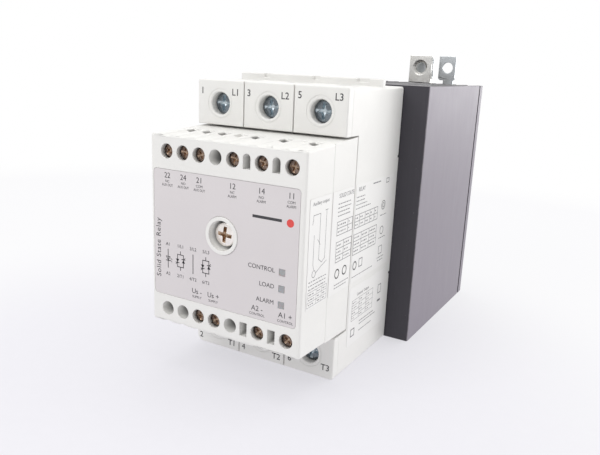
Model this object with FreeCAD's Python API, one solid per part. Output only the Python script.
import FreeCAD, Part
import math
import os

V = FreeCAD.Vector
os.makedirs("parts", exist_ok=True)

# Three-pole solid state relay with built-in heatsink and a plug-on monitoring module.
# Millimetres. X to the right, Y from the front face to the back, Z up.
# While building, Y = 0 is the module's front face; every piece is moved by
# -TOTAL_D / 2 in Y when it is written, so the origin is the centre of the base.

# ---------------------------------------------------------------- driving dimensions
POLE = 18.0              # pole pitch of the enclosure
HW = 1.5 * POLE          # half width of the plastic, 54 mm overall
H = 90.7                 # height of the plastic enclosure
SINK_HW = 36.0           # half width of the heatsink, 72 mm overall
SINK_H = 91.2            # length of the heatsink extrusion
Y_SEAM = 15.4            # joint between the module's cover and base
Y_COVER = 22.2           # front face of the power terminal covers
Y_HOUSE = 25.4           # front of the housing's terminal blocks
Y_MOD = 30.3             # back of the module
Y_MID = 30.6             # housing wall behind the module
Y_SINK = 64.5            # front face of the heatsink
Y_BACK = 132.4           # back of the heatsink fins
TOTAL_D = 137.8          # front face to the back of the spring lugs
T_TOP = 14.1             # top of the load (lower) terminal block
L_BOT = H - T_TOP        # bottom of the line (upper) terminal block
WALL = 2.0

POWER_X = [-18.1, 0.0, 18.1]
POWER_Z = {"line": 83.4, "load": H - 83.4}
POWER_R_HEAD = 3.35      # power screw head radius, in a 7.0 mm access hole
POWER_R_SHANK = 2.0      # M4
POWER_TRAVEL = 4.2

CTRL_TOP_Z = 70.0
CTRL_BOT_Z = 20.5
CTRL_X = [-20.86, -14.86, -8.89, -2.95, 3.05, 12.68, 22.43]
SLOT_X = [7.79, 17.47]
CTRL_R_HOLE = 2.2
CTRL_R_HEAD = 2.08
CTRL_R_SHANK = 1.25      # M2.5
CTRL_TRAVEL = 2.4
# columns that carry a screw: upper row, lower row
TOP_SCREWS = {"22": 0, "24": 1, "21": 2, "12": 4, "14": 5, "11": 6}
BOT_SCREWS = {"us_minus": 2, "us_plus": 3, "a2": 5, "a1": 6}

FIX_X, FIX_Z = -0.4, 47.5   # axis of the module's captive fixing screw
LABEL = (-26.1, 25.45, 24.9, 64.6)   # front label plate: x0, x1, z0, z1
LED_X = 20.45
LED_Z = [40.55, 35.7, 30.95]
LED_S = 1.95

RAIL_Z = 45.5            # centre height of the 35 mm DIN rail
RAIL_HALF = 17.5
BR_T = 1.5               # bracket sheet
SEAT_Y = Y_BACK + BR_T   # plane that the rail's lips rest on


# ---------------------------------------------------------------- helpers
def box(x0, x1, y0, y1, z0, z1):
    return Part.makeBox(x1 - x0, y1 - y0, z1 - z0, V(x0, y0, z0))


def cyl_y(x, z, r, y0, y1):
    return Part.makeCylinder(r, y1 - y0, V(x, y0, z), V(0, 1, 0))


def cone_y(x, z, r0, r1, y0, y1):
    return Part.makeCone(r0, r1, y1 - y0, V(x, y0, z), V(0, 1, 0))


def prism_x(pts, x0, x1):
    """A polygon of (y, z) points drawn out along X."""
    w = Part.makePolygon([V(x0, y, z) for y, z in pts + pts[:1]])
    return Part.Face(w).extrude(V(x1 - x0, 0, 0))


def prism_y(pts, y0, y1):
    """A polygon of (x, z) points drawn out along Y."""
    w = Part.makePolygon([V(x, y0, z) for x, z in pts + pts[:1]])
    return Part.Face(w).extrude(V(0, y1 - y0, 0))


def prism_z(pts, z0, z1):
    """A polygon of (x, y) points drawn out along Z."""
    w = Part.makePolygon([V(x, y, z0) for x, y in pts + pts[:1]])
    return Part.Face(w).extrude(V(0, 0, z1 - z0))


def fuse(shapes):
    s = shapes[0]
    if len(shapes) > 1:
        s = s.multiFuse(shapes[1:])
    return s.removeSplitter()


def cut(shape, tools):
    if tools:
        shape = shape.cut(Part.makeCompound(tools)) if len(tools) == 1 else shape.cut(tools)
    return shape


def mids(e):
    a, b = e.Vertexes[0].Point, e.Vertexes[-1].Point
    return (a + b) * 0.5, (b - a)


def along(e, axis):
    _, d = mids(e)
    if d.Length < 1e-6:
        return False
    d = d.normalize()
    return abs(abs((d.x, d.y, d.z)[axis]) - 1) < 2e-2


def fillet(shape, r, pick, chamfer=False):
    edges = [e for e in shape.Edges if len(e.Vertexes) > 1 and pick(e)]
    if not edges:
        return shape
    try:
        out = shape.makeChamfer(r, edges) if chamfer else shape.makeFillet(r, edges)
        if out.isValid() and out.Volume > 0:
            return out
    except Exception:
        pass
    print("fillet left out", r, len(edges))
    return shape


def rounded_plate_y(x0, x1, z0, z1, r, y0, y1):
    s = box(x0, x1, y0, y1, z0, z1)
    return fillet(s, r, lambda e: along(e, 1))


WRITTEN = {}


def save(name, shape):
    shape = shape.copy()
    shape.translate(V(0, -TOTAL_D / 2, 0))
    n = len(shape.Solids)
    ok = shape.isValid()
    WRITTEN[name] = n
    bb = shape.BoundBox
    print(f"{name:26s} solids {n:2d} valid {ok} vol {shape.Volume:10.1f}  "
          f"x {bb.XMin:.1f}..{bb.XMax:.1f} y {bb.YMin:.1f}..{bb.YMax:.1f} z {bb.ZMin:.1f}..{bb.ZMax:.1f}")
    shape.exportStep(f"parts/{name}.step")


def group(name, solids):
    """Several separate solids in one node."""
    solids = [s for c in solids for s in c.Solids]
    save(name, Part.makeCompound(solids) if len(solids) > 1 else solids[0])


# ================================================================ monitoring module
def module_top(y):
    """Height of the module's tapered top at depth y."""
    return 74.8 + (75.5 - 74.8) * y / Y_SEAM if y <= Y_SEAM else 75.5 + (76.25 - 75.5) * (y - Y_SEAM) / (Y_MOD - Y_SEAM)


def module_bottom(y):
    return 15.9 - (15.9 - 15.3) * y / Y_SEAM if y <= Y_SEAM else 15.3 - (15.3 - 14.75) * (y - Y_SEAM) / (Y_MOD - Y_SEAM)


# front cover: a tray with its open side to the back
cover = prism_x([(0, 15.9), (Y_SEAM, 15.3), (Y_SEAM, 75.5), (0, 74.8)], -HW, HW)
cover = fillet(cover, 0.7, lambda e: (mids(e)[0].y < 0.01) or (abs(mids(e)[0].x) > HW - 0.01 and 2 < mids(e)[0].y < 14 and abs(mids(e)[1].y) > 10))
cover = cover.cut(box(-HW + 1.6, HW - 1.6, 1.6, Y_SEAM + 1, 17.4, 73.3))
adds = [
    box(-HW + 1.2, HW - 1.2, 1.4, 4.2, 66.4, 73.6),        # guide bar for the upper screws
    box(-HW + 1.2, HW - 1.2, 1.4, 4.2, 17.1, 24.1),        # guide bar for the lower screws
    cyl_y(FIX_X, FIX_Z, 5.65, -0.25, 6.9),                 # boss round the fixing screw
    cyl_y(FIX_X, FIX_Z, 4.1, 6.0, Y_SEAM),                 # tube round its shank
]
for c, rows in ((CTRL_TOP_Z, TOP_SCREWS), (CTRL_BOT_Z, BOT_SCREWS)):
    for i, x in enumerate(CTRL_X):
        if i not in rows.values():
            adds.append(box(x - 2.75, x + 2.75, 3.0, 9.0, c - 2.9, c + 2.9))   # blind sleeve of an unused position
    for x in SLOT_X:
        adds.append(box(x - 1.9, x + 1.9, 3.0, 6.4, c - 3.0, c + 3.0))
for z in LED_Z:
    adds.append(box(LED_X - 2.0, LED_X + 2.0, 1.4, 4.0, z - 2.0, z + 2.0))     # collars of the light pipes
cover = fuse([cover] + adds)
cuts = [
    cyl_y(FIX_X, FIX_Z, 4.5, -1, 5.25),
    cyl_y(FIX_X, FIX_Z, 2.3, 4.0, Y_SEAM + 1),
    fillet(box(LABEL[0], LABEL[1], -1, 0.35, LABEL[2], LABEL[3]), 1.2, lambda e: along(e, 1)).cut(cyl_y(FIX_X, FIX_Z, 5.65, -2, 1)),
]
for c, rows in ((CTRL_TOP_Z, TOP_SCREWS), (CTRL_BOT_Z, BOT_SCREWS)):
    for i, x in enumerate(CTRL_X):
        used = i in rows.values()
        cuts.append(cyl_y(x, c, CTRL_R_HOLE, -1, 5.0 if used else 7.8))
        if used:
            cuts.append(box(x - 1.7, x + 1.7, 11.2, 14.6, (73.0 if c > 40 else 13.0), (77.5 if c > 40 else 17.8)))
        else:
            cuts.append(box(x - 1.7, x + 1.7, 11.2, 14.6, (74.4 if c > 40 else 13.0), (77.5 if c > 40 else 16.4)))
    for x in SLOT_X:
        cuts.append(box(x - 1.25, x + 1.25, -1, 5.2, c - 2.15, c + (1.1 if c > 40 else 2.1)))
        if c > 40:
            cuts.append(cyl_y(x, c + 0.9, 1.25, -1, 5.2))
for z in LED_Z:
    cuts.append(box(LED_X - LED_S / 2 - 0.05, LED_X + LED_S / 2 + 0.05, -1, 5, z - LED_S / 2 - 0.05, z + LED_S / 2 + 0.05))
# shallow wire-guide troughs along the top and bottom, open to the front edge
for x in CTRL_X + SLOT_X[1:]:
    r = 3.4
    top = Part.makeCylinder(r, Y_SEAM + 4, V(x, -1.5, module_top(0) - 0.07 + r - 0.5), V(0, Y_SEAM, 0.7).normalize())
    bot = Part.makeCylinder(r, Y_SEAM + 4, V(x, -1.5, module_bottom(0) + 0.07 - r + 0.5), V(0, Y_SEAM, -0.6).normalize())
    cuts += [top, bot]
cover = cut(cover, cuts)
save("module_cover", cover)

# rear base of the module
base = prism_x([(Y_SEAM, 15.3), (Y_MOD, 14.75), (Y_MOD, 76.25), (Y_SEAM, 75.5)], -HW, HW)
base = fillet(base, 0.25, lambda e: abs(mids(e)[0].y - Y_SEAM) < 0.01 or abs(mids(e)[0].y - Y_MOD) < 0.01, chamfer=True)
base = base.cut(box(-HW + 1.6, HW - 1.6, Y_SEAM - 1, Y_MOD - 1.7, 17.0, 73.8))
base = fuse([base, cyl_y(FIX_X, FIX_Z, 4.1, Y_SEAM + 8.6, Y_MOD - 1)])
base = cut(base, [
    cyl_y(FIX_X, FIX_Z, 2.3, Y_SEAM - 1, Y_MOD + 1),
    box(-19.4, -8.6, Y_MOD - 3, Y_MOD + 1, 37.6, 52.4),     # way through for the plug
])
save("module_base", base)

# front label plate, held in the cover's recess, with cut-outs for the windows and the boss
plate = rounded_plate_y(LABEL[0] + 0.1, LABEL[1] - 0.1, LABEL[2] + 0.1, LABEL[3] - 0.1, 1.1, 0.05, 0.35)
plate = cut(plate, [cyl_y(FIX_X, FIX_Z, 5.75, -1, 1)] + [
    box(LED_X - LED_S / 2 - 0.05, LED_X + LED_S / 2 + 0.05, -1, 1, z - LED_S / 2 - 0.05, z + LED_S / 2 + 0.05) for z in LED_Z])
# the module's own side label, in the same node
side = box(HW, HW + 0.08, 2.4, 14.9, 29.9, 61.6)
side2 = box(HW, HW + 0.08, 15.8, 29.6, 29.9, 61.6)
group("module_labels", [plate, side, side2])

# light pipes from the board's LEDs to the windows
pipes = []
for z in LED_Z:
    pipes.append(fuse([
        box(LED_X - LED_S / 2, LED_X + LED_S / 2, 0.1, 4.4, z - LED_S / 2, z + LED_S / 2),
        box(LED_X - 0.8, LED_X + 0.8, 4.2, 20.9, z - 0.8, z + 0.8),
    ]))
group("light_pipes", pipes)

# control board with its surface-mounted parts
pcb_y0, pcb_y1 = 22.0, 23.6
board = box(-24.8, 24.8, pcb_y0, pcb_y1, 18.3, 72.6).cut(cyl_y(FIX_X, FIX_Z, 4.8, 20, 26))
parts = [board]
for z in LED_Z:
    parts.append(box(LED_X - 0.8, LED_X + 0.8, 21.2, pcb_y0, z - 0.8, z + 0.8))
parts.append(box(4.0, 11.0, 20.4, pcb_y0, 50.0, 57.0))       # controller chip
parts.append(box(5.0, 9.0, 20.6, pcb_y0, 36.0, 41.0))        # isolated converter
group("control_board", parts)

# two changeover signal relays
group("signal_relays", [box(-21.5, -8.5, 12.0, pcb_y0, 49.6, 64.2), box(-21.5, -8.5, 12.0, pcb_y0, 27.0, 41.4)])

# plug on the back of the board
plug = box(-19.0, -9.0, pcb_y1, 35.0, 38.0, 52.0)
plug = cut(plug, [box(-19.0 + 1.6 + 2.5 * i, -19.0 + 3.0 + 2.5 * i, 31.0, 36.0, 39.4 + 4.4 * k, 40.8 + 4.4 * k) for i in range(3) for k in range(3)])
save("plug_connector", plug)

# contact bars: one L-shaped strip behind each screw, soldered to the board
bars = []
for c, rows in ((CTRL_TOP_Z, TOP_SCREWS), (CTRL_BOT_Z, BOT_SCREWS)):
    for i in rows.values():
        x = CTRL_X[i]
        if c > 40:
            bars.append(fuse([box(x - 1.4, x + 1.4, 10.6, 11.4, 65.2, 72.4), box(x - 1.4, x + 1.4, 10.6, pcb_y0, 65.2, 66.0)]))
        else:
            bars.append(fuse([box(x - 1.4, x + 1.4, 10.6, 11.4, 18.1, 25.3), box(x - 1.4, x + 1.4, 10.6, pcb_y0, 24.5, 25.3)]))
group("control_contacts", bars)


def cross_screw(x, z, r_head, y_head, head_t, r_shank, y_tip, slot_w, slot_l, depth, dome=0.0):
    """A cross-recess screw whose axis runs along Y, head to the front."""
    head = cyl_y(x, z, r_head, y_head, y_head + head_t)
    head = fillet(head, min(head_t * 0.4, r_head * 0.3), lambda e: True if abs(e.CenterOfMass.y - y_head) < 1e-3 else False) if False else head
    edges = [e for e in head.Edges if abs(e.BoundBox.YMax - y_head) < 1e-4]
    try:
        head = head.makeChamfer(min(0.35, head_t * 0.25), edges)
    except Exception:
        print("head chamfer left out")
    s = fuse([head, cyl_y(x, z, r_shank, y_head + head_t - 0.2, y_tip)])
    tools = [
        box(x - slot_l / 2, x + slot_l / 2, y_head - 1, y_head + depth, z - slot_w / 2, z + slot_w / 2),
        box(x - slot_w / 2, x + slot_w / 2, y_head - 1, y_head + depth, z - slot_l / 2, z + slot_l / 2),
    ]
    return s.cut(tools)


# captive fixing screw in the middle of the module
save("module_fixing_screw", cross_screw(FIX_X, FIX_Z, 3.6, 1.4, 3.8, 2.0, 34.6, 1.2, 5.4, 2.4))


# control terminals: screw and rising cage clamp at each position
def ctrl_clamp(x, c):
    s = box(x - 2.2, x + 2.2, 7.2, 15.0, c - 3.0, c + 3.0)
    s = s.cut(box(x - 1.6, x + 1.6, 9.0, 14.0, c - 4, c + 4))
    return s.cut(cyl_y(x, c, CTRL_R_SHANK + 0.05, 6, 9.5))


for c, rows in ((CTRL_TOP_Z, TOP_SCREWS), (CTRL_BOT_Z, BOT_SCREWS)):
    for tag, i in rows.items():
        x = CTRL_X[i]
        save(f"terminal_screw_{tag}", cross_screw(x, c, CTRL_R_HEAD, 1.2, 2.4, CTRL_R_SHANK, 10.4, 0.62, 3.1, 1.0))
        save(f"terminal_clamp_{tag}", ctrl_clamp(x, c))

# ================================================================ power enclosure
# outer block: full height behind, terminal blocks stepping forward above and below the module
house = fuse([
    box(-HW, HW, Y_MID, Y_SINK, 0, H),
    box(-HW, HW, Y_HOUSE, Y_MID + 1, L_BOT, H),
    box(-HW, HW, Y_HOUSE, Y_MID + 1, 0, T_TOP),
])
house = fillet(house, 0.8, lambda e: along(e, 1) and abs(mids(e)[0].z - H) < 0.01)
house = fillet(house, 0.8, lambda e: along(e, 1) and abs(mids(e)[0].z) < 0.01 and mids(e)[0].x > 20)
house = fillet(house, 2.4, lambda e: along(e, 1) and abs(mids(e)[0].z) < 0.01 and mids(e)[0].x < -20)
# raised rib across the top, with a small pocket at each pole
rib = fillet(box(-HW, HW, 46.0, 48.4, H - 1, 93.1), 0.5, lambda e: mids(e)[0].z > 93.0 or (along(e, 2) and True))
house = fuse([house, rib])
cuts = [box(a, b, 45.0, 47.2, 91.8, 94) for a, b in ((-17.4, -15.0), (1.8, 4.7), (18.0, 22.3))]
# main chamber, open to the heatsink
cuts.append(box(-HW + WALL, HW - WALL, Y_MID + WALL, Y_SINK + 1, T_TOP + WALL + 0.2, L_BOT - WALL - 0.2))
cuts.append(box(-HW + WALL, HW - WALL, 46.4, Y_SINK + 1, L_BOT - WALL - 1, H - 1.9))
cuts.append(box(-HW + WALL, HW - WALL, 46.4, Y_SINK + 1, 1.9, T_TOP + WALL + 1))
for x in POWER_X:
    # clamp chambers
    cuts.append(box(x - 6.0, x + 6.0, Y_HOUSE - 1, 44.8, 78.0, 88.8))
    cuts.append(box(x - 6.0, x + 6.0, Y_HOUSE - 1, 44.8, H - 88.8, H - 78.0))
    # wire entries with a funnel
    for s in (1, -1):
        z0, z1 = (88.0, H + 2) if s > 0 else (-2, H - 88.0)
        cuts.append(box(x - 4.4, x + 4.4, 36.8, 43.4, z0, z1))
    # ways through for the busbars
    cuts.append(box(x - 3.9, x + 3.9, 35.2, 37.5, 73.0, 79.0))
    cuts.append(box(x - 3.9, x + 3.9, 35.2, 37.5, H - 79.0, H - 73.0))
cuts.append(box(-19.4, -8.6, Y_MID - 1, Y_MID + WALL + 1, 37.6, 52.4))      # socket opening
cuts.append(cyl_y(FIX_X, FIX_Z, 2.3, Y_MID - 1, Y_MID + WALL + 1))
# small joints in the rear edge of the side walls
for z in (25.0, 67.2):
    for s in (-1, 1):
        xx = sorted((s * (HW - 0.9), s * (HW + 1)))
        cuts.append(box(xx[0], xx[1], Y_SINK - 0.9, Y_SINK + 1, z - 0.4, z + 0.4))
        zz = (-1, z) if z < 40 else (z, H + 4)
        cuts.append(box(xx[0], xx[1], Y_SINK - 0.3, Y_SINK + 1, zz[0], zz[1]))
house = cut(house, cuts)
adds = [cyl_y(FIX_X, FIX_Z, 4.6, Y_MID + WALL - 0.5, 34.9)]
for x in (-22.0, 22.0):
    for z in (20.6, H - 20.6):
        adds.append(cyl_y(x, z, 3.2, 56.0, Y_SINK))
        adds.append(box(min(x, x * 1.14), max(x, x * 1.14), 56.0, Y_SINK, z - 1.5, z + 1.5))
house = fuse([house] + adds)
cuts = [cyl_y(FIX_X, FIX_Z, 3.2, 30.0, 36.0)]
for x in (-22.0, 22.0):
    for z in (20.6, H - 20.6):
        cuts.append(cyl_y(x, z, 1.6, 50.0, Y_SINK + 1))
house = cut(house, cuts)
save("power_housing", house)

# threaded insert that the module's fixing screw goes into
save("threaded_insert", cyl_y(FIX_X, FIX_Z, 3.2, 30.7, 34.8).cut(cyl_y(FIX_X, FIX_Z, 2.05, 30, 36)))

# terminal covers: one strip across the three poles, above and below
for name, zc, z0, z1 in (("line", POWER_Z["line"], L_BOT, H), ("load", POWER_Z["load"], 0.0, T_TOP)):
    c = box(-HW, HW, Y_COVER, Y_HOUSE, z0, z1)
    if name == "load":
        c = fillet(c, 2.4, lambda e: along(e, 1) and mids(e)[0].z < 0.01 and mids(e)[0].x < 0)
        c = fillet(c, 0.8, lambda e: along(e, 1) and mids(e)[0].z < 0.01 and mids(e)[0].x > 0)
    else:
        c = fillet(c, 0.8, lambda e: along(e, 1) and mids(e)[0].z > H - 0.01)
    c = fillet(c, 0.45, lambda e: e.BoundBox.YMax < Y_COVER + 0.01)
    tools = []
    for x in POWER_X:
        tools.append(cyl_y(x, zc, 3.5, Y_COVER - 1, Y_HOUSE + 1))
        tools.append(cone_y(x, zc, 3.85, 3.5, Y_COVER - 0.001, Y_COVER + 0.35))
        ring = cyl_y(x, zc, 4.75, Y_COVER - 1, Y_COVER + 0.16).cut(cyl_y(x, zc, 4.45, Y_COVER - 2, Y_HOUSE))
        tools.append(ring)
    for x in (-POLE / 2, POLE / 2):
        tools.append(box(x - 0.16, x + 0.16, Y_COVER - 1, Y_COVER + 1.0, z0 - 1, z1 + 1))
        tools.append(prism_z([(x - 0.32, Y_COVER - 0.05), (x + 0.32, Y_COVER - 0.05), (x, Y_COVER + 0.3)], z0 - 1, z1 + 1))
    c = cut(c, tools)
    save(f"{name}_terminal_cover", c)


# power terminals: cross-head screw and box clamp at each pole, line side and load side
def power_clamp(x, z):
    s = box(x - 5.4, x + 5.4, 31.4, 44.2, z - 4.5, z + 4.5)
    s = fillet(s, 0.6, lambda e: along(e, 2))
    s = s.cut(box(x - 4.0, x + 4.0, 34.2, 42.4, z - 6, z + 6))
    return s.cut(cyl_y(x, z, POWER_R_SHANK + 0.05, 30, 35))


for side_name, z in POWER_Z.items():
    for k, x in enumerate(POWER_X, 1):
        save(f"{side_name}_screw_{k}", cross_screw(x, z, POWER_R_HEAD, 24.2, 2.8, POWER_R_SHANK, 35.4, 0.95, 5.2, 1.2))
        save(f"{side_name}_clamp_{k}", power_clamp(x, z))

# ---------------------------------------------------------------- power circuit
MOD_X = [-16.7, 16.7]     # centres of the two thyristor modules
mods, pads = [], []
for x in MOD_X:
    m = box(x - 7.5, x + 7.5, 62.2, 64.2, 29.5, 61.2)
    cap = fillet(box(x - 6.6, x + 6.6, 61.2, 62.3, 31.0, 59.7), 0.3, lambda e: e.BoundBox.YMax < 61.21)
    mods.append(fuse([m, cap]))
    pads.append(box(x - 7.7, x + 7.7, 64.2, Y_SINK, 29.3, 61.4))
group("thyristor_modules", mods)
group("thermal_pads", pads)


def power_bar(x, line):
    """Copper bar from a box clamp back to a thyristor module."""
    def zz(v):
        return v if line else H - v
    segs = [(35.6, 37.1, 64.5, 87.2), (35.6, 61.2, 64.5, 66.0), (59.7, 61.2, 50.5, 66.0)]
    solids = []
    for y0, y1, a, b in segs:
        lo, hi = sorted((zz(a), zz(b)))
        solids.append(box(x - 3.5, x + 3.5, y0, y1, lo, hi))
    return fuse(solids)


group("line_busbars", [power_bar(x, True) for x in (POWER_X[0], POWER_X[2])])
group("load_busbars", [power_bar(x, False) for x in (POWER_X[0], POWER_X[2])])
save("middle_busbar", box(-3.5, 3.5, 35.6, 37.1, H - 87.2, 87.2))

# socket for the module's plug
sock = box(-20.6, -7.4, Y_MID + WALL, 46.0, 36.4, 53.6).cut(box(-19.4, -8.6, Y_MID, 44.2, 37.6, 52.4))
pins = [box(-19.0 + 1.95 + 2.5 * i, -19.0 + 2.65 + 2.5 * i, 32.4, 44.6, 39.75 + 4.4 * k, 40.45 + 4.4 * k) for i in range(3) for k in range(3)]
save("socket_connector", fuse([sock] + pins))

# driver board: opto-couplers in front, varistors behind, gate pins to the modules
drv = [box(-24.0, 24.0, 46.0, 47.6, 28.0, 62.6)]
drv += [box(8.0, 15.0, 42.6, 46.0, z, z + 9.0) for z in (33.0, 47.0)]
drv += [cyl_y(x, 45.35, 5.2, 47.6, 52.4) for x in (-15.5, 15.5)]
drv += [cyl_y(x, z, 0.5, 47.6, 61.2) for x in (-11.5, 11.5) for z in (38.6, 52.2)]
group("driver_board", drv)

# screws that hold the housing to the heatsink
hs = []
for x in (-22.0, 22.0):
    for z in (20.6, H - 20.6):
        s = fuse([cyl_y(x, z, 2.8, 53.8, 56.0), cyl_y(x, z, 1.45, 55.9, 71.0)])
        s = s.cut([box(x - 1.8, x + 1.8, 53, 54.9, z - 0.35, z + 0.35), box(x - 0.35, x + 0.35, 53, 54.9, z - 1.8, z + 1.8)])
        hs.append(s)
group("housing_screws", hs)

# side labels of the housing
side_a = box(HW, HW + 0.08, 31.2, 61.0, 29.9, 61.6)
side_b = fillet(box(HW, HW + 0.08, 31.2, 59.9, 7.8, 28.0), 0.0 + 1.0, lambda e: along(e, 0))
group("housing_labels", [side_a, side_b])

# ================================================================ heatsink
FIN_T = 1.6
sink = box(-SINK_HW, SINK_HW, Y_SINK, Y_BACK, 0, SINK_H)
fins = [-28.7, -23.8, -18.9, -7.5, -2.5, 2.5, 7.5, 18.9, 23.8, 28.7]
BOSS_X, BOSS_W = 13.2, 5.0
solid_x = [(-SINK_HW, -SINK_HW + 2.4), (SINK_HW - 2.4, SINK_HW)]
solid_x += [(x - FIN_T / 2, x + FIN_T / 2) for x in fins]
solid_x += [(s * BOSS_X - BOSS_W / 2, s * BOSS_X + BOSS_W / 2) for s in (-1, 1)]
solid_x.sort()
gaps = [(a[1], b[0]) for a, b in zip(solid_x, solid_x[1:])]
tools = []
for a, b in gaps:
    w = b - a
    slot = box(a, b, Y_SINK + 8.0 + w / 2, Y_BACK + 1, -1, SINK_H + 1)
    root = Part.makeCylinder(w / 2, SINK_H + 2, V((a + b) / 2, Y_SINK + 8.0 + w / 2, -1), V(0, 0, 1))
    tools += [slot, root]
for s in (-1, 1):
    x0, x1 = sorted((s * (SINK_HW - 1.1), s * (SINK_HW + 1)))
    tools.append(box(x0, x1, 127.2, 128.4, -1, SINK_H + 1))            # groove near the back edge
    tools.append(cyl_y(s * BOSS_X, RAIL_Z, 1.95, Y_BACK - 10, Y_BACK + 1))
for x in (-22.0, 22.0):
    for z in (20.6, H - 20.6):
        tools.append(cyl_y(x, z, 1.5, Y_SINK - 1, 71.6))
sink = cut(sink, tools)
sink = fillet(sink, 0.5, lambda e: along(e, 2) and abs(abs(mids(e)[0].x) - SINK_HW) < 0.01 and (abs(mids(e)[0].y - Y_SINK) < 0.01 or abs(mids(e)[0].y - Y_BACK) < 0.01))
save("heatsink", sink)

# ================================================================ DIN-rail clip on the heatsink's back
Y1 = Y_BACK
TAB = 136.5              # back of the hook lips
plate = box(-28.0, 28.0, Y1, SEAT_Y, 20.0, 76.0)
plate = fillet(plate, 2.0, lambda e: along(e, 1))
bits = [
    plate,
    box(3.6, 25.6, Y1, SEAT_Y, 70.0, 90.0),                # tower behind the latch stem
    box(-20.5, -11.5, Y1, SEAT_Y, 70.0, 86.5),             # tower of the spring lug
    box(5.2, 13.7, Y1, SEAT_Y, 88.0, 101.4),               # ear behind the earth terminal
    box(-18.5, -13.5, Y1, 137.4, 85.0, 86.5),              # spring lug
]
for a, b in ((-24.0, -14.0), (14.0, 24.0)):                # fixed hooks under the rail's lower lip
    bits.append(box(a, b, Y1, TAB, RAIL_Z - RAIL_HALF - 1.8, RAIL_Z - RAIL_HALF - 0.2))
    bits.append(box(a, b, 135.1, TAB, RAIL_Z - RAIL_HALF - 1.8, RAIL_Z - RAIL_HALF + 2.2))
for a, b in ((-8.0, -4.0), (4.0, 8.0)):                    # straps that guide the latch's crossbar
    bits.append(box(a, b, Y1, TAB, 63.3, 64.6))
    bits.append(box(a, b, Y1, TAB, 74.5, 75.8))
    bits.append(box(a, b, 135.4, TAB, 63.3, 75.8))
bits.append(box(16.6, 17.55, Y1, TAB, 79.0, 83.0))         # strap that guides the stem
bits.append(box(22.65, 23.6, Y1, TAB, 79.0, 83.0))
bits.append(box(16.6, 23.6, 135.4, TAB, 79.0, 83.0))
bracket = fuse(bits)
bracket = cut(bracket, [cyl_y(s * BOSS_X, RAIL_Z, 2.2, Y1 - 1, SEAT_Y + 1) for s in (-1, 1)])
save("din_rail_bracket", bracket)

bs = []
for s in (-1, 1):
    x = s * BOSS_X
    b = fuse([cyl_y(x, RAIL_Z, 3.6, SEAT_Y, SEAT_Y + 2.1), cyl_y(x, RAIL_Z, 1.9, Y_BACK - 9.0, SEAT_Y + 0.5)])
    b = b.cut([box(x - 2.3, x + 2.3, SEAT_Y + 1.0, SEAT_Y + 3, RAIL_Z - 0.45, RAIL_Z + 0.45), box(x - 0.45, x + 0.45, SEAT_Y + 1.0, SEAT_Y + 3, RAIL_Z - 2.3, RAIL_Z + 2.3)])
    bs.append(b)
group("bracket_screws", bs)

# sliding latch: crossbar with two teeth over the rail's upper lip, stem and pull eye
LY0, LY1 = 134.1, 135.1
RT = RAIL_Z + RAIL_HALF
EX0, EX1, EZ = 15.6, 23.0, 97.9
bits = [
    box(-26.0, 26.0, LY0, LY1, 65.0, 70.0),
    box(17.9, 22.3, LY0, LY1, 69.0, 94.0),
    fillet(box(EX0, EX1, LY0, LY1, 92.6, 102.7), 1.2, lambda e: along(e, 1) and mids(e)[0].z < 93),
    box(EX0, EX1, LY0, LY1 + 0.9, 101.9, 102.7),
    box(-18.5, -13.5, LY0, 137.4, 68.6, 70.0),
]
for a, b in ((-24.0, -14.0), (14.0, 24.0)):
    tooth = prism_x([(LY0, 66.0), (LY0, RT + 0.45), (135.1, RT + 0.45), (135.1, 60.8), (135.5, 60.4), (TAB, 63.2), (TAB, 66.0)], a, b)
    bits.append(tooth)
latch = fuse(bits).cut(cyl_y(19.5, EZ, 2.25, LY0 - 1, LY1 + 1))
save("din_rail_latch", latch)

# compression spring between the bracket's lug and the latch's lug
R_COIL, R_WIRE = 1.45, 0.25
z0, z1 = 70.05 + R_WIRE, 84.95 - R_WIRE
helix = Part.makeHelix(2.1, z1 - z0, R_COIL)
start = helix.Edges[0].valueAt(helix.Edges[0].FirstParameter)
tan = helix.Edges[0].tangentAt(helix.Edges[0].FirstParameter)
prof = Part.Wire([Part.Circle(start, tan, R_WIRE).toShape()])
spring = Part.Wire(helix.Edges).makePipeShell([prof], True, True)
spring = Part.Solid(spring) if spring.ShapeType != "Solid" else spring
spring.translate(V(-16.0, 135.95, z0))
save("latch_spring", spring)

# earth terminal: thick plated block with an M6 thread, its foot on the heatsink's top
earth = fuse([
    fillet(box(4.5, 14.2, 127.6, 130.0, SINK_H, 102.8), 0.35, lambda e: e.BoundBox.YMax < 127.61 or (e.BoundBox.ZMin > 102.79)),
    box(4.5, 14.2, 129.8, Y_BACK, SINK_H, 93.0),
])
ex, ez = 9.35, 97.6
earth = cut(earth, [cyl_y(ex, ez, 2.5, 126, 131), cone_y(ex, ez, 3.2, 2.5, 127.59, 128.3)])
save("earth_terminal", earth)

print("nodes", len(WRITTEN), "solids", sum(WRITTEN.values()))
